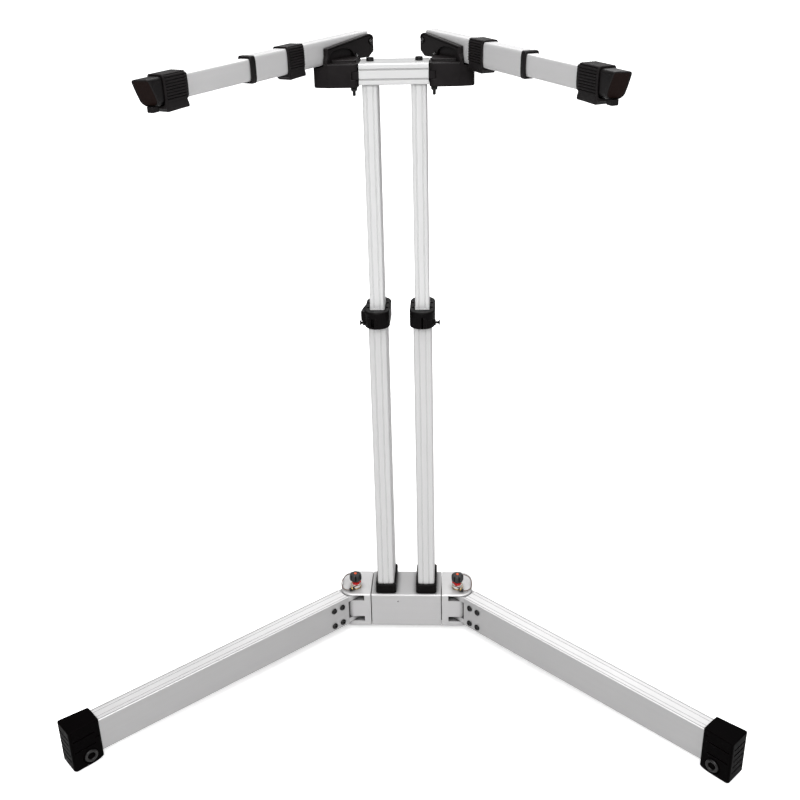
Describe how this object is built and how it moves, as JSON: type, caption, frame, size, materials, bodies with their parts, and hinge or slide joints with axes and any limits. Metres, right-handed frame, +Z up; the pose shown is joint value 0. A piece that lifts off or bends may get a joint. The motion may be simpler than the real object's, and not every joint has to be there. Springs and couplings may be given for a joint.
{
  "type": "keyboard stand",
  "caption": "Free-standing instrument stand: a wide base block with folding legs, twin telescoping columns and two splayed, extending support arms with ribbed grips.",
  "frame": {"origin": "on the floor under the middle of the base block", "axes": "+Z up, +X to the right as seen from the player's side, -Y towards the player (the way the arms and legs reach)"},
  "size_m": [1.1432, 0.5545, 1.1333],
  "materials": {
    "aluminium_tube": "satin anodised, fine lengthwise drawing lines",
    "aluminium_block": "satin anodised, fine bead blasted",
    "black_plastic": "moulded black nylon, light grain",
    "black_cast": "black powder-coated casting",
    "rubber": "ribbed black rubber",
    "black_steel": "black oxide steel",
    "steel": "bright zinc-plated steel",
    "knob": "dark grey moulded plastic with a red button and ring",
    "brass": "plain brass washer",
    "wire": "coated braided wire"
  },
  "bodies": {
    "base": {"centre_block": "aluminium_block", "hinge_block_left": "aluminium_block", "hinge_block_right": "aluminium_block", "base_pad": "rubber", "pin_washer_left": "brass", "pin_washer_right": "brass", "column_socket_left": "black_plastic", "column_socket_right": "black_plastic", "lower_tube_left": "aluminium_tube", "lower_tube_right": "aluminium_tube", "clamp_collar_left": "black_plastic", "clamp_collar_right": "black_plastic"},
    "upper_column": {"upper_tube_left": "aluminium_tube", "upper_tube_right": "aluminium_tube", "crossbar": "aluminium_tube", "crossbar_screw_left": "black_steel", "crossbar_screw_right": "black_steel", "crossbar_hinge_left": "black_cast", "crossbar_hinge_right": "black_cast"},
    "leg_left": {"leg_bracket_left": "aluminium_block", "leg_tube_left": "aluminium_tube", "foot_cap_left": "black_plastic", "leg_screw_left_1": "black_steel", "leg_screw_left_2": "black_steel", "leg_screw_left_3": "black_steel", "leg_screw_left_4": "black_steel"},
    "lock_pin_left": {"lock_pin_left": "knob", "lanyard_left": "wire"},
    "thumb_screw_left": {"clamp_thumb_screw_left": "black_steel"},
    "arm_left": {"arm_bracket_left": "black_cast", "arm_pivot_bolt_left": "black_steel", "arm_tube_outer_left": "aluminium_tube", "arm_screw_left_1": "steel", "arm_screw_left_2": "steel", "arm_ring_left": "black_plastic"},
    "arm_extension_left": {"arm_tube_inner_left": "aluminium_tube", "arm_end_cap_left": "black_plastic", "front_grip_left": "rubber"},
    "rear_grip_left": {"rear_grip_left": "rubber"},
    "leg_right": {"leg_bracket_right": "aluminium_block", "leg_tube_right": "aluminium_tube", "foot_cap_right": "black_plastic", "leg_screw_right_1": "black_steel", "leg_screw_right_2": "black_steel", "leg_screw_right_3": "black_steel", "leg_screw_right_4": "black_steel"},
    "lock_pin_right": {"lock_pin_right": "knob", "lanyard_right": "wire"},
    "thumb_screw_right": {"clamp_thumb_screw_right": "black_steel"},
    "arm_right": {"arm_bracket_right": "black_cast", "arm_pivot_bolt_right": "black_steel", "arm_tube_outer_right": "aluminium_tube", "arm_screw_right_1": "steel", "arm_screw_right_2": "steel", "arm_ring_right": "black_plastic"},
    "arm_extension_right": {"arm_tube_inner_right": "aluminium_tube", "arm_end_cap_right": "black_plastic", "front_grip_right": "rubber"},
    "rear_grip_right": {"rear_grip_right": "rubber"}
  },
  "joints": [
    {"name": "height_slide", "type": "slide", "parent": "base", "child": "upper_column", "axis": [0, 0, 1], "range_m": [-0.34, 0.06]},
    {"name": "leg_fold_left", "type": "hinge", "parent": "base", "child": "leg_left", "pos_m": [-0.1018, -0.0144, 0.05], "axis": [0, 0, -1], "range_deg": [-47, 33]},
    {"name": "lock_pin_lift_left", "type": "slide", "parent": "base", "child": "lock_pin_left", "axis": [0, 0, 1], "range_m": [0, 0.075]},
    {"name": "clamp_screw_turn_left", "type": "hinge", "parent": "base", "child": "thumb_screw_left", "pos_m": [-0.06, -0.026, 0.6508], "axis": [-1, 0, 0], "continuous": true},
    {"name": "arm_swing_left", "type": "hinge", "parent": "upper_column", "child": "arm_left", "pos_m": [-0.065, -0.029, 1.0755], "axis": [0, 0, 1], "range_deg": [0, 30]},
    {"name": "arm_extend_left", "type": "slide", "parent": "arm_left", "child": "arm_extension_left", "axis": [-0.4693, -0.8826, -0.0262], "range_m": [-0.13, 0.06]},
    {"name": "rear_grip_slide_left", "type": "slide", "parent": "arm_left", "child": "rear_grip_left", "axis": [-0.4693, -0.8826, -0.0262], "range_m": [-0.042, 0.072]},
    {"name": "leg_fold_right", "type": "hinge", "parent": "base", "child": "leg_right", "pos_m": [0.1018, -0.0144, 0.05], "axis": [0, 0, 1], "range_deg": [-47, 33]},
    {"name": "lock_pin_lift_right", "type": "slide", "parent": "base", "child": "lock_pin_right", "axis": [0, 0, 1], "range_m": [0, 0.075]},
    {"name": "clamp_screw_turn_right", "type": "hinge", "parent": "base", "child": "thumb_screw_right", "pos_m": [0.06, -0.026, 0.6508], "axis": [1, 0, 0], "continuous": true},
    {"name": "arm_swing_right", "type": "hinge", "parent": "upper_column", "child": "arm_right", "pos_m": [0.065, -0.029, 1.0755], "axis": [0, 0, -1], "range_deg": [0, 30]},
    {"name": "arm_extend_right", "type": "slide", "parent": "arm_right", "child": "arm_extension_right", "axis": [0.4693, -0.8826, -0.0262], "range_m": [-0.13, 0.06]},
    {"name": "rear_grip_slide_right", "type": "slide", "parent": "arm_right", "child": "rear_grip_right", "axis": [0.4693, -0.8826, -0.0262], "range_m": [-0.008, 0.105]}
  ]
}
